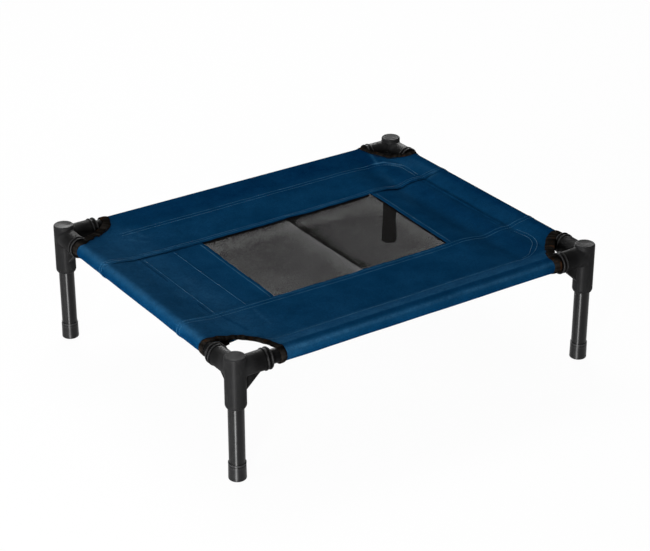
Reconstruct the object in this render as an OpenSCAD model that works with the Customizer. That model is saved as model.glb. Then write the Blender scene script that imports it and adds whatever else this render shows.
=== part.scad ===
// Raised dog cot. Four moulded corner connectors hold four rail tubes and four push-fit legs,
// and a sewn cloth deck with a mesh window is stretched over the rails.
// Millimetres, Z up, X along the length, the front towards -Y, the origin on the floor below the middle.

/* [Frame] */
// Distance between the post axes along the length
span_x = 580; // [480:5:800]
// Distance between the post axes across the width
span_y = 468; // [400:5:700]
// Height of the corner posts above the floor
cot_h = 182; // [150:1:260]
// Outside diameter of the rail tubes
rail_d = 20; // [17:0.5:22]
// Outside diameter of the leg tubes
leg_d = 22; // [19:0.5:25]
// Wall of every tube
tube_wall = 1.2; // [0.8:0.1:2.5]
// Radial room of a tube in its socket
push_fit = 0.05; // [0.03:0.01:0.1]

/* [Corner connectors] */
// Height of a post
post_h = 74; // [70:1:90]
// Wall of the leg socket
post_wall = 3.5; // [2.8:0.1:5]
// Wall of the rail sockets
arm_wall = 4.2; // [3:0.1:5.5]
// Reach of an arm from the post axis to its mouth
arm_reach = 50; // [44:1:54]
// Height of the post top over the arms
top_rise = 4.3; // [3.5:0.1:8]
// Solid roof between the leg socket and the rail sockets
socket_roof = 6.5; // [4:0.5:10]
// Solid stop between the end of a rail and the rail beside it
rail_stop_wall = 4; // [2:0.5:8]
// Room between the end of a rail and the bottom of its socket
end_gap = 0.3; // [0.1:0.1:0.8]
// Width of a raised ring on an arm
ring_w = 3; // [2:0.1:4]
// Height of a raised ring over the arm
ring_rise = 1.3; // [0.6:0.1:1.5]
// Spacing of the two rings
ring_pitch = 6.2; // [4.5:0.1:9]
// Thickness of the web under an arm
web_t = 5; // [3:0.5:9]
// Reach of the web along the arm, from the post axis
web_reach = 38; // [28:1:42]
// Depth of the web below the rail axis
web_depth = 36; // [26:1:46]
// Rounding of the post's top rim
rim_r = 2.6; // [1:0.1:3.4]
// Width of the flat rim round the dished top
rim_w = 1.6; // [0.5:0.1:4]
// Depth of the dished top
dish_depth = 0.9; // [0.3:0.1:2]
// Height of the tapered mouth of the leg socket
mouth_h = 3; // [2:0.5:9]
// Wall of the leg socket at its mouth
mouth_wall = 1.9; // [0.8:0.1:2.6]

/* [Foot caps] */
// Height of a foot cap
cap_h = 25; // [18:1:40]
// Thickness of its sole
cap_sole = 4; // [2:0.5:8]
// Wall at the base
cap_wall = 1.25; // [0.9:0.05:3]
// Narrowing of the wall towards the bead
cap_taper = 0.3; // [0:0.05:0.4]
// Height of the bead at the top
bead_h = 2.4; // [1:0.1:4]
// Height of the groove below the bead
groove_h = 1.2; // [0.6:0.1:3]
// Wall left in the groove
groove_wall = 0.55; // [0.4:0.05:0.6]
// Rounding of the sole's edge
sole_r = 1.8; // [0.5:0.1:3]

/* [Cloth deck] */
// Thickness of the cloth
cloth_t = 0.6; // [0.4:0.05:0.8]
// Room between the cloth and what it covers
cloth_gap = 0.3; // [0.2:0.05:0.5]
// Depth of the front strip, from the rail axis to its inner edge
front_strip = 131; // [110:1:150]
// Depth of the back strip
back_strip = 137; // [110:1:150]
// Width of the left panel
left_panel = 143; // [110:1:160]
// Width of the right panel
right_panel = 137; // [110:1:160]
// Front rail axis to the hem of its sleeve
front_hem = 29; // [24:1:36]
// Back rail axis to the hem of its sleeve
back_hem = 36; // [24:1:38]
// Left rail axis to the hem of its sleeve
left_hem = 40; // [24:1:42]
// Right rail axis to the hem of its sleeve
right_hem = 38; // [24:1:42]
// Depth of the hems below the cloth over the rails
hem_drop = 6; // [3:0.5:9]
// Sag from the hems to the middle of the deck
deck_sag = 3; // [0:0.5:10]
// Reach of the side panels under the long strips
tuck = 60; // [15:1:64]
// Reach of the mesh under the panels round it
mesh_lap = 12; // [6:1:20]
// Width of the bars of the mesh, which is drawn coarser than it is woven
mesh_bar = 10; // [6:0.5:14]
// Openings of the mesh on each side of the packing fold
mesh_gaps_x = 6; // [3:1:6]
// Openings of the mesh across the width
mesh_gaps_y = 8; // [4:1:12]
// Place of the packing fold across the window
fold_x = 3; // [-60:1:60]
// Height of the packing fold
fold_rise = 3; // [0:0.25:6]
// Half of the width that the fold lifts
fold_half = 45; // [20:1:80]

/* [Corner cut-outs] */
// Room between the mouths of the front left arms and the edge of the cut-out round them
front_left_room = 16; // [3:0.5:18]
// The same at the front right
front_right_room = 4; // [3:0.5:18]
// The same at the back left
back_left_room = 5; // [3:0.5:18]
// The same at the back right
back_right_room = 4; // [3:0.5:18]
// Width of the binding tape
tape_w = 8.5; // [5:0.5:12]
// Thickness of the binding tape
tape_t = 0.8; // [0.5:0.1:1.2]

/* [Hidden] */
$fn = 96;

PLASTIC = "#2a2a2c";
POWDER_COAT = "#1d1d1f";
CLOTH = "#123a66";
MESH = "#4a4a48";
TAPE = "#1c1815";

left = -1;
right = 1;
front = -1;
back = 1;

// Corner connectors
arm_d = rail_d + 2 * arm_wall;
post_r = leg_d / 2 + post_wall;
rail_z = cot_h - top_rise - arm_d / 2;
post_foot = cot_h - post_h;
socket_top = rail_z - rail_d / 2 - socket_roof;
rail_stop = rail_d / 2 + rail_stop_wall;
// The arms start a little off the post axis, deep inside the post
arm_root = 2;
arc_steps = 8;
// How far a cut runs past a face, and how far joined shapes bite into each other
over = 1;

// Cloth loops round the rails: inside, outside, and the same for the tape over them
loop_in = rail_d / 2 + cloth_gap;
loop_out = loop_in + cloth_t;
tape_in = loop_out + cloth_gap;
tape_out = tape_in + tape_t;
loop_sides = 24;

// The deck lies in layers: the long strips over the side panels over the mesh
layer = cloth_t + cloth_gap;
hem_z = rail_z + loop_out - hem_drop;
// The flat cloth starts in the middle of the wedge where the two sides of a sleeve meet
wedge = (1 + loop_out / loop_in) / 2;
deck_x0 = -span_x / 2 + left_hem * wedge;
deck_x1 = span_x / 2 - right_hem * wedge;
deck_y0 = -span_y / 2 + front_hem * wedge;
deck_y1 = span_y / 2 - back_hem * wedge;
// The window in the cloth
window_x0 = -span_x / 2 + left_panel;
window_x1 = span_x / 2 - right_panel;
window_y0 = -span_y / 2 + front_strip;
window_y1 = span_y / 2 - back_strip;

function unit(a) = [cos(a), sin(a)];
function arc(centre, r, from, to) = [
    for (i = [0 : arc_steps]) centre + r * unit(from + (to - from) * i / arc_steps)
];

// Places its children, drawn with the post at the origin and +X and +Y towards the middle
module at_corner(side_x, side_y) {
    translate([side_x * span_x / 2, side_y * span_y / 2, 0])
        mirror([side_x > 0 ? 1 : 0, 0, 0])
            mirror([0, side_y > 0 ? 1 : 0, 0])
                children();
}

// Turns children drawn along +Z so that they run along +X or +Y at the height of the rails
module along_x() {
    translate([0, 0, rail_z])
        rotate([0, 90, 0])
            children();
}

module along_y() {
    translate([0, 0, rail_z])
        rotate([-90, 0, 0])
            children();
}

// The post: tapered mouth, straight wall, rounded rim and dished top
module post() {
    dish_r = post_r - rim_r - rim_w;
    outline = concat(
        [[0, post_foot], [leg_d / 2 + mouth_wall, post_foot], [post_r, post_foot + mouth_h]],
        arc([post_r - rim_r, cot_h - rim_r], rim_r, 0, 90),
        [[dish_r, cot_h], [dish_r - dish_depth, cot_h - dish_depth], [0, cot_h - dish_depth]]
    );
    rotate_extrude() polygon(outline);
}

// The round bump of one ring, in the half-plane of an arm's outline
function ring_arc(place) =
    let (
        r = (pow(ring_w / 2, 2) + pow(ring_rise, 2)) / (2 * ring_rise),
        half = atan2(ring_w / 2, r - ring_rise)
    )
    arc([arm_d / 2 + ring_rise - r, place], r, -half, half);

// One arm, drawn along +Z out of the post, with two rings at its mouth
module arm() {
    mouth_ring = arm_reach - ring_w / 2;
    outline = concat(
        [[0, arm_root], [arm_d / 2, arm_root]],
        ring_arc(mouth_ring - ring_pitch),
        ring_arc(mouth_ring),
        [[0, arm_reach]]
    );
    rotate_extrude() polygon(outline);
}

// The web under an arm, drawn in the plane of the arm and the post
module web() {
    under_arm = rail_z - arm_d / 2;
    rotate([90, 0, 0])
        linear_extrude(web_t, center = true)
            polygon([
                [0, rail_z], [web_reach, rail_z], [web_reach, under_arm + over],
                [post_r - over, rail_z - web_depth], [0, rail_z - web_depth],
            ]);
}

module arm_and_web() {
    along_x() arm();
    web();
}

module rail_socket() {
    translate([0, 0, rail_stop - end_gap])
        cylinder(d = rail_d + 2 * push_fit, h = arm_reach);
}

module corner(side_x, side_y) {
    color(PLASTIC)
        at_corner(side_x, side_y)
            difference() {
                union() {
                    post();
                    arm_and_web();
                    mirror([1, -1, 0]) arm_and_web();
                }
                translate([0, 0, post_foot - over])
                    cylinder(d = leg_d + 2 * push_fit, h = socket_top - post_foot + over);
                along_x() rail_socket();
                along_y() rail_socket();
            }
}

module tube(d, length) {
    difference() {
        cylinder(d = d, h = length);
        translate([0, 0, -over])
            cylinder(d = d - 2 * tube_wall, h = length + 2 * over);
    }
}

module long_rail(side_y) {
    length = span_x - 2 * rail_stop;
    color(POWDER_COAT)
        translate([-length / 2, side_y * span_y / 2, 0])
            along_x() tube(rail_d, length);
}

module side_rail(side_x) {
    length = span_y - 2 * rail_stop;
    color(POWDER_COAT)
        translate([side_x * span_x / 2, -length / 2, 0])
            along_y() tube(rail_d, length);
}

module leg(side_x, side_y) {
    color(POWDER_COAT)
        at_corner(side_x, side_y)
            translate([0, 0, cap_sole])
                tube(leg_d, socket_top - cap_sole);
}

// A cup that the leg stands in, with a groove and a bead round its mouth
module foot(side_x, side_y) {
    bore_r = leg_d / 2 + push_fit;
    base_r = bore_r + cap_wall;
    bead_r = base_r - cap_taper / 2;
    groove_r = bore_r + groove_wall;
    bead_z = cap_h - bead_h;
    outline = concat(
        [[0, 0]],
        arc([base_r - sole_r, sole_r], sole_r, -90, 0),
        [[base_r - cap_taper, bead_z - groove_h], [groove_r, bead_z - groove_h], [groove_r, bead_z]],
        [[bead_r, bead_z], [bead_r, cap_h], [bore_r, cap_h], [bore_r, cap_sole], [0, cap_sole]]
    );
    color(PLASTIC)
        at_corner(side_x, side_y)
            rotate_extrude() polygon(outline);
}

// Outline of a cloth loop of radius r round a rail, drawn out to a hem at a distance and a height
function loop_outline(r, hem, rise) =
    let (
        tip = [hem, rise] * r / loop_in,
        lean = atan2(rise, hem),
        open = acos(r / norm(tip))
    )
    concat([tip], [for (i = [0 : loop_sides]) r * unit(lean + open + (360 - 2 * open) * i / loop_sides)]);

module sleeve_wall(hem, rise) {
    difference() {
        polygon(loop_outline(loop_out, hem, rise));
        polygon(loop_outline(loop_in, hem, rise));
    }
}

// Extrudes a loop drawn with +X inboard and +Y up, along a front or a left rail
module run_x(from, to) {
    translate([from, 0, rail_z])
        rotate([90, 0, 90])
            linear_extrude(to - from) children();
}

module run_y(from, to) {
    translate([0, to, rail_z])
        rotate([90, 0, 0])
            linear_extrude(to - from) children();
}

// Height of the middle of the cloth: level at the hems, sagging between them, raised along the fold
function bow(t, from, to) = 4 * (t - from) * (to - t) / pow(to - from, 2);
function fold(x) = max(0, 1 - abs(x - fold_x) / fold_half);
function deck_z(x, y) =
    hem_z + bow(y, deck_y0, deck_y1) * (fold_rise * fold(x) - deck_sag * bow(x, deck_x0, deck_x1));

// Evenly spaced values from one end up to, and without, the other
function steps(from, to, count) = [for (i = [0 : count - 1]) from + (to - from) * i / count];

// Stations along the length, with one on the ridge and one at each foot of the fold
function fold_stations(from, to) = concat(
    steps(from, fold_x - fold_half, 5),
    steps(fold_x - fold_half, fold_x, 2),
    steps(fold_x, fold_x + fold_half, 2),
    steps(fold_x + fold_half, to, 5),
    [to]
);

// Start and end of each opening in a row of them, with bars between
function gaps(from, to, count) =
    let (pitch = (to - from + mesh_bar) / count)
    [for (i = [0 : count - 1]) each [from + i * pitch, from + (i + 1) * pitch - mesh_bar]];

// A sheet of cloth that follows the deck over a grid of stations, at a layer below the strips.
// In an open sheet every second cell of every second row is left out.
module sheet(xs, ys, layers, open = false) {
    nx = len(xs);
    ny = len(ys);
    n = nx * ny;
    points = [
        for (side = [1, -1], y = ys, x = xs)
            [x, y, deck_z(x, y) - layers * layer + side * cloth_t / 2]
    ];
    cells = [
        for (j = [0 : ny - 2], i = [0 : nx - 2])
            if (!open || i % 2 == 0 || j % 2 == 0) j * nx + i
    ];
    holes = open ? [for (j = [1 : 2 : ny - 2], i = [1 : 2 : nx - 2]) j * nx + i] : [];
    upper = [for (c = cells) each [[c, c + nx, c + nx + 1], [c, c + nx + 1, c + 1]]];
    lower = [for (f = upper) [n + f[0], n + f[2], n + f[1]]];
    edge = concat(
        [for (i = [0 : nx - 2]) i],
        [for (j = [0 : ny - 2]) j * nx + nx - 1],
        [for (i = [nx - 1 : -1 : 1]) n - nx + i],
        [for (j = [ny - 1 : -1 : 1]) j * nx]
    );
    pairs = concat(
        [for (k = [0 : len(edge) - 1]) [edge[k], edge[(k + 1) % len(edge)]]],
        [for (c = holes) each [[c, c + nx], [c + nx, c + nx + 1], [c + nx + 1, c + 1], [c + 1, c]]]
    );
    rim = [for (p = pairs) each [[p[0], p[1], n + p[1]], [p[0], n + p[1], n + p[0]]]];
    polyhedron(points, concat(upper, lower, rim));
}

// Radius of the cut-out round a post
function cutout_r(side_x, side_y) =
    arm_reach + (
        side_y == front
            ? (side_x == left ? front_left_room : front_right_room)
            : (side_x == left ? back_left_room : back_right_room)
    );

module cutouts(side_y) {
    for (side_x = [left, right])
        at_corner(side_x, side_y)
            cylinder(r = cutout_r(side_x, side_y), h = cot_h);
}

// A long strip: the deck cloth, the sleeve on its own rail and the rolled ends on the side rails
module strip(side_y, hem, depth, from, to) {
    rise = hem_z - rail_z;
    mirrored = side_y > 0 ? 1 : 0;
    color(CLOTH)
        difference() {
            union() {
                sheet(fold_stations(deck_x0, deck_x1), concat(steps(from, to, 6), [to]), 0);
                mirror([0, mirrored, 0])
                    translate([0, -span_y / 2, 0])
                        run_x(-span_x / 2, span_x / 2) sleeve_wall(hem, rise);
                at_corner(left, side_y)
                    run_y(0, depth) sleeve_wall(left_hem, rise);
                at_corner(right, side_y)
                    run_y(0, depth) sleeve_wall(right_hem, rise);
            }
            cutouts(side_y);
        }
}

module cover_front() {
    strip(front, front_hem, front_strip, deck_y0, window_y0);
}

module cover_back() {
    strip(back, back_hem, back_strip, window_y1, deck_y1);
}

// A side panel: the sleeve between the rolled ends of the strips, and cloth that tucks under them
module side_panel(side_x, hem, from, to) {
    rise = hem_z - rail_z - layer;
    color(CLOTH) {
        sheet(
            concat(steps(from, to, 6), [to]),
            concat(steps(window_y0 - tuck, window_y1 + tuck, 16), [window_y1 + tuck]),
            1
        );
        mirror([side_x > 0 ? 1 : 0, 0, 0])
            translate([-span_x / 2, 0, 0])
                run_y(window_y0 + cloth_gap, window_y1 - cloth_gap) sleeve_wall(hem, rise);
    }
}

module cover_left() {
    side_panel(left, left_hem, deck_x0, window_x0);
}

module cover_right() {
    side_panel(right, right_hem, window_x1, deck_x1);
}

// The see-through window, sewn under the edges of the panels round it, with a bar along the fold
module mesh_window() {
    xs = concat(
        [window_x0 - mesh_lap],
        gaps(window_x0, fold_x - mesh_bar / 2, mesh_gaps_x),
        gaps(fold_x + mesh_bar / 2, window_x1, mesh_gaps_x),
        [window_x1 + mesh_lap]
    );
    ys = concat([window_y0 - mesh_lap], gaps(window_y0, window_y1, mesh_gaps_y), [window_y1 + mesh_lap]);
    color(MESH)
        sheet(xs, ys, 2, open = true);
}

// The sleeves of both rails at a corner as full loops of one radius, joined by a slab of deck
module corner_loops(r, reach, hem_x, hem_y, half_t) {
    rise = hem_z - rail_z;
    run_x(0, reach) polygon(loop_outline(r, hem_y, rise));
    run_y(0, reach) polygon(loop_outline(r, hem_x, rise));
    translate([hem_x, hem_y, hem_z - half_t])
        cube([reach, reach, 2 * half_t]);
}

// Tape folded over the edge of a cut-out, from the end of one sleeve round to the other
module binding(side_x, side_y, hem_x, hem_y) {
    room_t = cloth_t / 2 + cloth_gap;
    edge_r = cutout_r(side_x, side_y);
    lip_r = edge_r - cloth_gap;
    reach = edge_r + 2 * tape_w;
    color(TAPE)
        at_corner(side_x, side_y)
            difference() {
                intersection() {
                    corner_loops(tape_out, reach, hem_x, hem_y, room_t + tape_t);
                    cylinder(r = edge_r + tape_w, h = cot_h);
                }
                difference() {
                    corner_loops(tape_in, reach, hem_x, hem_y, room_t);
                    cylinder(r = lip_r, h = cot_h);
                }
                cylinder(r = lip_r - tape_t, h = cot_h);
                run_x(0, span_x / 2) polygon(loop_outline(loop_in, hem_y, hem_z - rail_z));
                run_y(0, span_y / 2) polygon(loop_outline(loop_in, hem_x, hem_z - rail_z));
            }
}

corner(left, front);  // corner_front_left
corner(right, front);  // corner_front_right
corner(left, back);  // corner_back_left
corner(right, back);  // corner_back_right
long_rail(front);  // rail_front
long_rail(back);  // rail_back
side_rail(left);  // rail_left
side_rail(right);  // rail_right
leg(left, front);  // leg_front_left
leg(right, front);  // leg_front_right
leg(left, back);  // leg_back_left
leg(right, back);  // leg_back_right
foot(left, front);  // foot_front_left
foot(right, front);  // foot_front_right
foot(left, back);  // foot_back_left
foot(right, back);  // foot_back_right
cover_front();
cover_back();
cover_left();
cover_right();
mesh_window();
binding(left, front, left_hem, front_hem);  // binding_front_left
binding(right, front, right_hem, front_hem);  // binding_front_right
binding(left, back, left_hem, back_hem);  // binding_back_left
binding(right, back, right_hem, back_hem);  // binding_back_right
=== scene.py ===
"""A raised dog cot: a sewn cloth deck with a mesh window, stretched over tubes and moulded corners.

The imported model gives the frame, and this script sews and moulds what dresses it. Sizes are in millimetres up
to where a mesh is made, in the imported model's frame: Z up, X along the length, the front towards -Y. The
camera, the lamps and the floor are in metres.
"""

import math

import bpy
import numpy as np
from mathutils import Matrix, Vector


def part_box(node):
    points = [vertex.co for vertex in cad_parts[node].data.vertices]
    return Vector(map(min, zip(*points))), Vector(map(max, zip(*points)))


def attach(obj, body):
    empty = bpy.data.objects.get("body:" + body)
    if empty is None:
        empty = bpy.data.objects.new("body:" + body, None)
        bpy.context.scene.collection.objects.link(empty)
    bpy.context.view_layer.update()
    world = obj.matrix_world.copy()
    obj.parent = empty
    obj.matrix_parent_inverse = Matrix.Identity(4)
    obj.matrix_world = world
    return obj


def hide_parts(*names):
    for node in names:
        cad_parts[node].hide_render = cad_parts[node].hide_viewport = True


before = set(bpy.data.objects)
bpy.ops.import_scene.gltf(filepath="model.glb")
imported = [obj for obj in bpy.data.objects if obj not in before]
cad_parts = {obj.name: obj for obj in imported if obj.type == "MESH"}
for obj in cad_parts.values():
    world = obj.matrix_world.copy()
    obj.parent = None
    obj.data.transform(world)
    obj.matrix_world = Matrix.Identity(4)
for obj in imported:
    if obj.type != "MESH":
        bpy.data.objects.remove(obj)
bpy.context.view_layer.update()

MM = 0.001
X, Y, Z = 0, 1, 2
UP = (0.0, 0.0, 1.0)
LEFT, RIGHT, FRONT, BACK = -1, 1, -1, 1
NAMES_X = {LEFT: "left", RIGHT: "right"}
NAMES_Y = {FRONT: "front", BACK: "back"}


def box_mm(node):
    """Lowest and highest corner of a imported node, in millimetres."""
    low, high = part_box(node)
    return np.array(low) / MM, np.array(high) / MM


# Sizes that the frame gives
rail_low, rail_high = box_mm("rail_back")
side_low, side_high = box_mm("rail_right")
corner_low, corner_high = box_mm("corner_front_left")
leg_low, leg_high = box_mm("leg_front_left")
HALF = np.array([(side_low[X] + side_high[X]) / 2, (rail_low[Y] + rail_high[Y]) / 2])
RAIL_Z = (rail_low[Z] + rail_high[Z]) / 2
RAIL_R = (rail_high[Z] - rail_low[Z]) / 2
RAIL_STOP = rail_low[X] + HALF[X]
LEG_R = (leg_high[X] - leg_low[X]) / 2
LEG_TOP = leg_high[Z]
POST_TOP = corner_high[Z]
POST_FOOT = corner_low[Z]
ARM_REACH = corner_high[X] + HALF[X]
WINDOW_X = (box_mm("cover_left")[1][X], box_mm("cover_right")[0][X])
WINDOW_Y = (box_mm("cover_front")[1][Y], box_mm("cover_back")[0][Y])

# From each rail's axis to the window
PANEL_DEPTH = {LEFT: HALF[X] + WINDOW_X[0], RIGHT: HALF[X] - WINDOW_X[1]}
STRIP_DEPTH = {FRONT: HALF[Y] + WINDOW_Y[0], BACK: HALF[Y] - WINDOW_Y[1]}

# Cloth
CLOTH_T = 0.6
SLEEVE_ROOM = 0.6
LOOP_R = RAIL_R + SLEEVE_ROOM
LAYER = 0.7
UNDER = 0.7
UNDER_UNEVEN = 0.15
UNDER_WAVE = 45
UNDER_WAVE_ROUND = 9
FOLD_R = 0.31
FOLD_POINTS = 6
FOLD_UNDER = 10
TAIL = 8
STEP = 2.4
SEAM_GAP = LOOP_R / 6
HEM_DROP = 6
HEM_SOFT = 0.5
HEM_Z = RAIL_Z + LOOP_R + CLOTH_T / 2 - HEM_DROP
HEM_Y = {FRONT: 29, BACK: 36}
HEM_X = {LEFT: 40, RIGHT: 38}
TUCK = 60
TUCK_RISE = 0.45
TUCK_FADE = 6
SLEEVE_TUCK = 9

# Rise of the strips' and panels' edges at the window
EDGE_LIFT = {FRONT: 1.1, BACK: 1.35}
LIFT_WIDTH = 15
LIFT_ON_RAIL = 0.45
LIFT_FADE = 22
LIFT_UNEVEN = 0.35
LIFT_WAVE = 26
PANEL_LIFT = 1.0
PANEL_LIFT_WIDTH = 12
PANEL_LIFT_START = 3
PANEL_LIFT_FADE = 18
PANEL_UNEVEN = 0.3
PANEL_WAVE = 24

# How far each side panel reaches past the window's box at the front, and how much more at the back
PANEL_SKEW = {LEFT: (2, 4), RIGHT: (4, -8)}

# Edge of each cut-out, inboard of its post: a curve's start on the long rail, the two points that draw it
# out, and its end on the side rail
CUTOUTS = {
    (LEFT, FRONT): ((64, 0), (64, 47), (47, 64), (0, 64)),
    (RIGHT, FRONT): ((51.5, 0), (51.5, 8), (10, 57), (0, 57)),
    (LEFT, BACK): ((61, 0), (62, 26), (11, 35), (0, 50)),
    (RIGHT, BACK): ((51.5, 0), (51.5, 8), (30, 54.5), (0, 54.5)),
}
UNDER_BACK = {(LEFT, FRONT, Y): 13}
FINE_STEP = 0.8
FINE_BAND = 12

# Deck between the hems, with its packing fold
DECK_X = (-HALF[X] + HEM_X[LEFT], HALF[X] - HEM_X[RIGHT])
DECK_Y = (-HALF[Y] + HEM_Y[FRONT], HALF[Y] - HEM_Y[BACK])
DECK_SAG = 3
CREASE_X = 3
CREASE_RISE = 1.65
CREASE_LEFT = 34
CREASE_RIGHT = 14
CREASE_PAST = 25
CREASE_FADE = 40

# Soft folds along the right panel: place, half width and height
RIGHT_FOLDS = ((160, 18, 1.5), (208, 17, -5.0), (255, 8, -1.8))

# Broad unevenness of the cloth: height, lengths along x and y, and seed
WRINKLES = ((0.5, 90, 60, 1), (0.22, 34, 26, 2))
WRINKLE_FADE = 30

# Ripples along seams: the axis that they lie across, their places, height, half width, lengths along and
# across, and first seed
SEAM_PUCKERS = (
    (Y, WINDOW_Y, 0.35, 9, 7, 30, 11),
    (X, WINDOW_X, 0.25, 8, 8, 30, 21),
    (Y, DECK_Y, 0.22, 7, 8, 25, 31),
    (X, DECK_X, 0.22, 7, 8, 25, 41),
)
CUTOUT_PUCKER = 0.45
CUTOUT_PUCKER_FADE = 9
CUTOUT_PUCKER_LENGTH = 40
CUTOUT_PUCKERS = 6.5

# Painted light on the cloth: painted sheen over nought and painted shade under it, for how light falls on
# it: at places across each rail's sleeve, inboard of the top of the roll and on round it, and along creases
# with a start, an end, a half width and a strength
ROLL_PAINTED_LIGHT = {
    (Y, FRONT): (
        (-36, -31, -9, -5, 1, 3.5, 5.5, 7, 9.5, 12.5, 17, 20, 24),
        (0, 1, 1.35, -0.3, -0.35, -0.1, 0.6, 1.6, 1.6, 0.1, -0.15, -0.5, -0.9),
    ),
    (Y, BACK): ((-75, -60, -44, -38, -32), (0, -0.2, -0.3, -0.45, -0.75)),
    (X, LEFT): (
        (-260, -115, -95, -70, -4, 2, 5, 9, 12, 16, 22),
        (0, 0.2, 0.4, 0.95, 0.95, 1.2, 1.4, 0.7, -0.1, -0.7, -1),
    ),
    (X, RIGHT): ((-80, -68, -55, -45, -30, -12, -6), (0, -0.5, -0.5, 0, 0, -0.1, -0.7)),
}
# Painted highlights along folds where light catches them, and painted shade where the strength is under nought
CREASE_PAINTED_LIGHT = (
    ((241, 229), (229, 185), 3.2, 2.6),
    ((224, 186), (239, 182), 2.8, 3.2),
    ((239, 182), (253, 159), 2.8, 2.6),
    ((222, 165), (214, 126), 9, 0.6),
    ((252, 205), (262, 150), 14, 0.5),
    ((221, 213), (208, 175), 6, -0.5),
    ((283, 175), (273, 94), 9, 0.55),
    ((262, 93), (300, 112), 3, 0.8),
    ((203, 82), (188, 37), 9, 0.35),
    ((-236, -107), (-228, -162), 2.5, -0.9),
    ((-189, -121), (-193, -165), 2.5, 0.8),
    ((-209, 191), (-198, 153), 4, 0.5),
    ((-228, 164), (-206, 139), 4, 0.5),
)
# How much the painted sheen and painted shade vary from patch to patch, and the patches' size
PAINTED_LIGHT_UNEVEN = 0.3
PAINTED_LIGHT_PATCH = 27

# Net of the window
NET_PITCH = 1.6
NET_STEP = 8
NET_FOLD = 20
STRAND_D = 0.842
STRAND_SIDES = 4
STRAND_RISE = 0.22
STRAND_UNEVEN = 0.012
STRAND_SCATTER = 0.014
NET_LAP = 12
NET_LEVEL = -3.0
NET_SLACK = 0.3
NET_DIP = 1.2
NET_DIP_REACH = 25
NET_HEM_DROP = 0.9
NET_SEWN_X = -1.75
NET_SEWN_Y = -1.0
NET_BACK_RISE = 0.8
NET_BACK_REACH = 45

# Connectors
SOCKET_ROOM = 0.05
POST_R = 14.5
ARM_R = 14.2
RING_W = 3
RING_RISE = 1.3
RING_PITCH = 6.2
WEB_T = 5
WEB_REACH = 38
WEB_DEPTH = 36
RIM_R = 2.6
DISH_R = 11.5
DISH_DEPTH = 0.9
MOUTH_H = 3
MOUTH_R = 12.9
ARM_FILLET = 1.8
WEB_FILLET = 1.0
RING_FILLET = 0.25
EDGE_R = 0.6
# Share of the connectors' colour kept under painted shade on the arms and in the rings' grooves
ARM_PAINTED_SHADE = 0.4
GROOVE_PAINTED_SHADE = 0.25
SKIN_STEP = 0.75
SKIN_MARGIN = 1.5
SKIN_PASSES = 4
SLOPE_REACH = 0.02
LEAST_SLOPE = 0.25

# Binding: its section as shares of the tape's width and of its puff, and its ripples
TAPE_W = {(LEFT, FRONT): 7.5, (RIGHT, FRONT): 12, (LEFT, BACK): 11, (RIGHT, BACK): 8}
TAPE_T = 0.5
TAPE_ROOM = 0.45
TAPE_LIP = 0.2
TAPE_CLEAR = 0.05
TAPE_SHORT = 9
TAPE_PUFF = 1.0
TAPE_FACE = np.array([1, 0.66, 0.33])
TAPE_BULGE = np.array([0, 0.85, 1])
LIP_POINTS = 7
BEND_POINTS = 46
RIPPLE = 0.75
RIPPLE_AT_LIP = 0.3
RIPPLE_LENGTH = 6
RAGGED = 0.13
RAGGED_LENGTH = 9
TAPE_SHIFT = 0.5
TAPE_SHIFT_LENGTH = 8

# Stitching: a stitch's section, and its profile as a share of its length and a height in radii
STITCH = 2.7
STITCH_GAP = 1.1
THREAD_R = 0.36
STITCH_SECTION = THREAD_R * np.array([[1, 0], [0, 1], [-1, 0], [0, -0.4]])
STITCH_PROFILE = np.array([[0, -0.25], [0.18, 0.6], [0.82, 0.6], [1, -0.25]])

# Rows of stitching: along the strips' edges, along the panels, and the hems of the strips
STRIP_ROWS = (4, 10)
PANEL_EDGE_ROW = 5
PANEL_ROW_END = 2
PANEL_ROWS = {LEFT: (52, 100), RIGHT: (38,)}
HEM_BEND = 30
HEM_BEND_POINTS = 9
HEM_ROWS = {
    FRONT: (
        ((-228, -188), (-214, -205), (222, -204), (262, -168), (257, -122)),
        ((207, -198), (219, -197), (256, -164), (251, -124)),
    ),
    BACK: (
        ((-226, 184), (234, 187), (259, 160), (255, 112)),
        ((-226, 177), (229, 180), (252, 155), (249, 112)),
    ),
}


def ease(t):
    """0 below 0, 1 above 1, smooth between."""
    t = np.clip(t, 0, 1)
    return t * t * t * (10 - 15 * t + 6 * t * t)


def within(t, ends, past, fade):
    """1 between two ends, fading a little past each."""
    low, high = ends
    return ease((t - low + past) / fade) * ease((high + past - t) / fade)


def bump(t, centre, half):
    """1 at the centre, falling off over a half width."""
    return np.exp(-(((t - centre) / half) ** 2))


def waves(u, v, seed):
    """Smooth noise from -1 to 1 with one cell per unit of u and v."""
    size = 97
    lattice = np.random.default_rng(seed).uniform(-1, 1, (size, size))
    u, v = np.broadcast_arrays(u, v)
    i, j = np.floor(u).astype(int), np.floor(v).astype(int)
    fu, fv = ease(u - i), ease(v - j)
    near = lattice[i % size, j % size] * (1 - fu) + lattice[(i + 1) % size, j % size] * fu
    far = lattice[i % size, (j + 1) % size] * (1 - fu) + lattice[(i + 1) % size, (j + 1) % size] * fu
    return near * (1 - fv) + far * fv


def unit(vectors):
    return vectors / np.linalg.norm(vectors, axis=-1, keepdims=True)


def path_length(points):
    """Length of a path up to each point."""
    return np.concatenate([[0], np.cumsum(np.linalg.norm(np.diff(points, axis=0), axis=1))])


def post_place(side_x, side_y):
    """Where a post's axis meets the floor."""
    return np.array([side_x * HALF[X], side_y * HALF[Y], 0])


def corner_name(side_x, side_y):
    return f"{NAMES_Y[side_y]}_{NAMES_X[side_x]}"


# The surface of the deck


def loop_angles(hem):
    """Angles at which a sleeve leaves its rail, above and below."""
    rise = HEM_Z - RAIL_Z
    lean = math.atan2(rise, hem)
    tangent = math.acos(LOOP_R / math.hypot(rise, hem))
    return lean + tangent, lean - tangent + 2 * math.pi


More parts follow.
